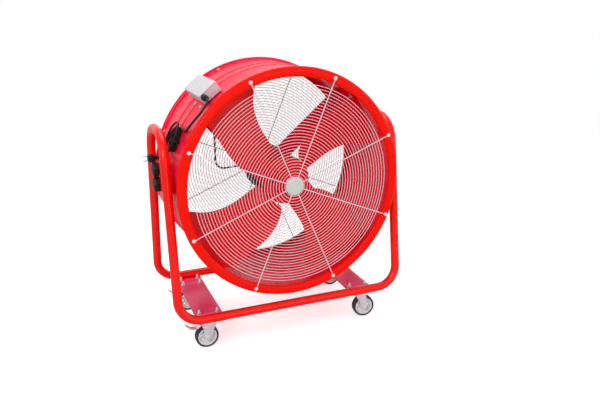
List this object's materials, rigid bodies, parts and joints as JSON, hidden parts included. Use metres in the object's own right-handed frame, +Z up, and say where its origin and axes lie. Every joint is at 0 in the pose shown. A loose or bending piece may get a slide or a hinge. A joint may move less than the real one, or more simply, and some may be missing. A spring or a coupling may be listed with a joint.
{
  "type": "drum fan",
  "caption": "Large wheeled drum fan: a red barrel with swept blades behind wire guards, tilting in a bent tube cradle on swivel castors, with its cord coiled on top.",
  "frame": {"origin": "on the floor, midway between the tilt knobs and midway between the front and rear bars of the cradle", "axes": "+Z up; -Y the way the air blows; +X to the right as seen by someone facing the outlet guard"},
  "size_m": [1.114, 0.5301, 1.189],
  "materials": {
    "red_paint": "gloss",
    "guard_paint": "satin",
    "zinc_plate": "satin",
    "wheel_rim": "satin",
    "wheel_tyre": "matte",
    "knob_plastic": "satin",
    "motor_paint": "satin",
    "box_plastic": "satin",
    "cord_rubber": "matte"
  },
  "bodies": {
    "cradle": {"cradle_tube_left": "red_paint", "cradle_tube_right": "red_paint", "base_plate_left": "red_paint", "base_plate_right": "red_paint", "pivot_plate_left": "red_paint", "pivot_plate_right": "red_paint", "castor_plate_front_left": "zinc_plate", "castor_plate_front_right": "zinc_plate", "castor_plate_rear_left": "zinc_plate", "castor_plate_rear_right": "zinc_plate"},
    "drum": {"drum_shell": "red_paint", "front_guard": "guard_paint", "rear_guard": "guard_paint", "guard_hub_cap": "guard_paint", "pivot_bracket_left": "red_paint", "pivot_bracket_right": "red_paint", "friction_washer_left": "knob_plastic", "friction_washer_right": "knob_plastic", "pivot_bolt_left": "zinc_plate", "pivot_bolt_right": "zinc_plate", "lock_bolt_left": "zinc_plate", "lock_bolt_right": "zinc_plate", "motor_bracket": "red_paint", "motor_body": "motor_paint", "junction_box": "box_plastic", "junction_box_lid": "box_plastic", "cable_gland": "knob_plastic", "motor_cable": "cord_rubber", "supply_cord": "cord_rubber", "cord_hank": "cord_rubber", "cord_tail": "cord_rubber", "plug": "cord_rubber"},
    "fan": {"motor_shaft": "zinc_plate", "fan_hub": "red_paint", "fan_blade_1": "red_paint", "fan_blade_2": "red_paint", "fan_blade_3": "red_paint", "fan_blade_4": "red_paint"},
    "pivot_knob_left": {"pivot_knob_left": "knob_plastic"},
    "lock_knob_left": {"lock_knob_left": "knob_plastic"},
    "pivot_knob_right": {"pivot_knob_right": "knob_plastic"},
    "lock_knob_right": {"lock_knob_right": "knob_plastic"},
    "castor_front_left": {"castor_fork_front_left": "zinc_plate", "castor_axle_front_left": "zinc_plate"},
    "wheel_front_left": {"castor_rim_front_left": "wheel_rim", "castor_tyre_front_left": "wheel_tyre"},
    "castor_front_right": {"castor_fork_front_right": "zinc_plate", "castor_axle_front_right": "zinc_plate"},
    "wheel_front_right": {"castor_rim_front_right": "wheel_rim", "castor_tyre_front_right": "wheel_tyre"},
    "castor_rear_left": {"castor_fork_rear_left": "zinc_plate", "castor_axle_rear_left": "zinc_plate"},
    "wheel_rear_left": {"castor_rim_rear_left": "wheel_rim", "castor_tyre_rear_left": "wheel_tyre"},
    "castor_rear_right": {"castor_fork_rear_right": "zinc_plate", "castor_axle_rear_right": "zinc_plate"},
    "wheel_rear_right": {"castor_rim_rear_right": "wheel_rim", "castor_tyre_rear_right": "wheel_tyre"},
    "brake_front_left": {"brake_pedal_front_left": "red_paint"},
    "brake_rear_left": {"brake_pedal_rear_left": "red_paint"}
  },
  "joints": [
    {"name": "drum_tilt", "type": "hinge", "parent": "cradle", "child": "drum", "pos_m": [0, 0, 0.699], "axis": [1, 0, 0], "range_deg": [-45, 45]},
    {"name": "fan_spin", "type": "hinge", "parent": "drum", "child": "fan", "pos_m": [0, -0.152, 0.699], "axis": [0, 1, 0], "continuous": true},
    {"name": "pivot_knob_turn_left", "type": "hinge", "parent": "drum", "child": "pivot_knob_left", "pos_m": [-0.528, 0, 0.699], "axis": [1, 0, 0], "range_deg": [0, 360]},
    {"name": "lock_knob_turn_left", "type": "hinge", "parent": "drum", "child": "lock_knob_left", "pos_m": [-0.528, 0, 0.765], "axis": [1, 0, 0], "range_deg": [0, 360]},
    {"name": "pivot_knob_turn_right", "type": "hinge", "parent": "drum", "child": "pivot_knob_right", "pos_m": [0.528, 0, 0.699], "axis": [1, 0, 0], "range_deg": [0, 360]},
    {"name": "lock_knob_turn_right", "type": "hinge", "parent": "drum", "child": "lock_knob_right", "pos_m": [0.528, 0, 0.765], "axis": [1, 0, 0], "range_deg": [0, 360]},
    {"name": "castor_swivel_front_left", "type": "hinge", "parent": "cradle", "child": "castor_front_left", "pos_m": [-0.37, -0.187, 0.12], "axis": [0, 0, 1], "continuous": true},
    {"name": "wheel_spin_front_left", "type": "hinge", "parent": "castor_front_left", "child": "wheel_front_left", "pos_m": [-0.388, -0.187, 0.051], "axis": [0, 1, 0], "continuous": true},
    {"name": "brake_pedal_press_front_left", "type": "hinge", "parent": "castor_front_left", "child": "brake_front_left", "pos_m": [-0.402, -0.187, 0.107], "axis": [0, -1, 0], "range_deg": [0, 8]},
    {"name": "castor_swivel_front_right", "type": "hinge", "parent": "cradle", "child": "castor_front_right", "pos_m": [0.352, -0.187, 0.12], "axis": [0, 0, 1], "continuous": true},
    {"name": "wheel_spin_front_right", "type": "hinge", "parent": "castor_front_right", "child": "wheel_front_right", "pos_m": [0.36987, -0.18919, 0.051], "axis": [-0.1219, -0.9925, 0], "continuous": true},
    {"name": "castor_swivel_rear_left", "type": "hinge", "parent": "cradle", "child": "castor_rear_left", "pos_m": [-0.37, 0.187, 0.12], "axis": [0, 0, 1], "continuous": true},
    {"name": "wheel_spin_rear_left", "type": "hinge", "parent": "castor_rear_left", "child": "wheel_rear_left", "pos_m": [-0.388, 0.187, 0.051], "axis": [0, 1, 0], "continuous": true},
    {"name": "brake_pedal_press_rear_left", "type": "hinge", "parent": "castor_rear_left", "child": "brake_rear_left", "pos_m": [-0.402, 0.187, 0.107], "axis": [0, -1, 0], "range_deg": [0, 8]},
    {"name": "castor_swivel_rear_right", "type": "hinge", "parent": "cradle", "child": "castor_rear_right", "pos_m": [0.352, 0.187, 0.12], "axis": [0, 0, 1], "continuous": true},
    {"name": "wheel_spin_rear_right", "type": "hinge", "parent": "castor_rear_right", "child": "wheel_rear_right", "pos_m": [0.37, 0.187, 0.051], "axis": [0, -1, 0], "continuous": true}
  ]
}
